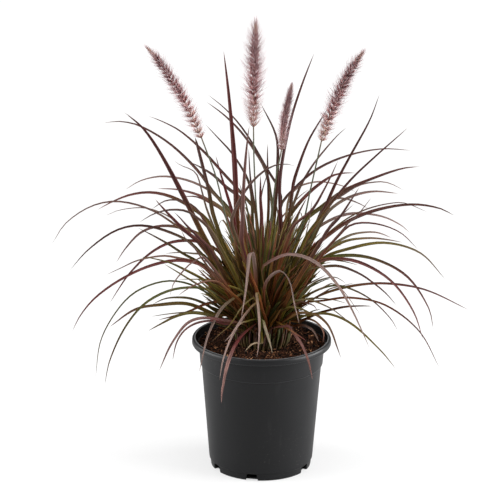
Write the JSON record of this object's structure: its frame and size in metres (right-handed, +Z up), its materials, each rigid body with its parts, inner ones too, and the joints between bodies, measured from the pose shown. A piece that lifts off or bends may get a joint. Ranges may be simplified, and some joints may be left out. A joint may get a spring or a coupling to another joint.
{
  "type": "potted purple fountain grass",
  "caption": "Clump of purple fountain grass with long arching leaves and bristly flower plumes, growing in a round plastic nursery pot.",
  "frame": {"origin": "middle of the pot's underside, on the surface it stands on", "axes": "+Z up, -Y towards the viewer of the picture, +X to the viewer's right"},
  "size_m": [0.6819, 0.59, 0.7558],
  "materials": {
    "pot_plastic": "satin moulded charcoal",
    "potting_mix": "loose dark bark and peat mix",
    "leaf_sheath": "dry fibrous olive to straw",
    "leaf_blade": "satin burgundy with olive bases",
    "flower_stem": "smooth satin yellow-green",
    "plume_bristle": "soft dusty rose bristles"
  },
  "bodies": {
    "root": {"pot": "pot_plastic", "potting_mix": "potting_mix", "crown": "leaf_sheath", "flower_stem_left": "flower_stem", "flower_stem_middle": "flower_stem", "flower_stem_small": "flower_stem", "flower_stem_right": "flower_stem", "plume_left": "plume_bristle", "plume_middle": "plume_bristle", "plume_small": "plume_bristle", "plume_right": "plume_bristle", "leaf_left_01": "leaf_blade", "leaf_left_02": "leaf_blade", "leaf_left_03": "leaf_blade", "leaf_left_04": "leaf_blade", "leaf_left_05": "leaf_blade", "leaf_left_06": "leaf_blade", "leaf_left_07": "leaf_blade", "leaf_left_08": "leaf_blade", "leaf_left_09": "leaf_blade", "leaf_left_10": "leaf_blade", "leaf_left_11": "leaf_blade", "leaf_left_12": "leaf_blade", "leaf_left_13": "leaf_blade", "leaf_left_14": "leaf_blade", "leaf_left_15": "leaf_blade", "leaf_left_16": "leaf_blade", "leaf_left_17": "leaf_blade", "leaf_front_01": "leaf_blade", "leaf_front_02": "leaf_blade", "leaf_front_03": "leaf_blade", "leaf_front_04": "leaf_blade", "leaf_front_05": "leaf_blade", "leaf_front_06": "leaf_blade", "leaf_middle_01": "leaf_blade", "leaf_middle_02": "leaf_blade", "leaf_middle_03": "leaf_blade", "leaf_right_01": "leaf_blade", "leaf_right_02": "leaf_blade", "leaf_right_03": "leaf_blade", "leaf_right_04": "leaf_blade", "leaf_right_05": "leaf_blade", "leaf_right_06": "leaf_blade", "leaf_right_07": "leaf_blade", "leaf_right_08": "leaf_blade", "leaf_right_09": "leaf_blade", "leaf_right_10": "leaf_blade", "leaf_right_11": "leaf_blade", "leaf_right_12": "leaf_blade", "leaf_right_13": "leaf_blade", "leaf_right_14": "leaf_blade", "leaf_right_15": "leaf_blade", "leaf_right_16": "leaf_blade", "leaf_right_17": "leaf_blade", "leaf_right_18": "leaf_blade", "leaf_back_01": "leaf_blade", "leaf_back_02": "leaf_blade", "leaf_back_03": "leaf_blade", "leaf_back_04": "leaf_blade"}
  },
  "joints": []
}
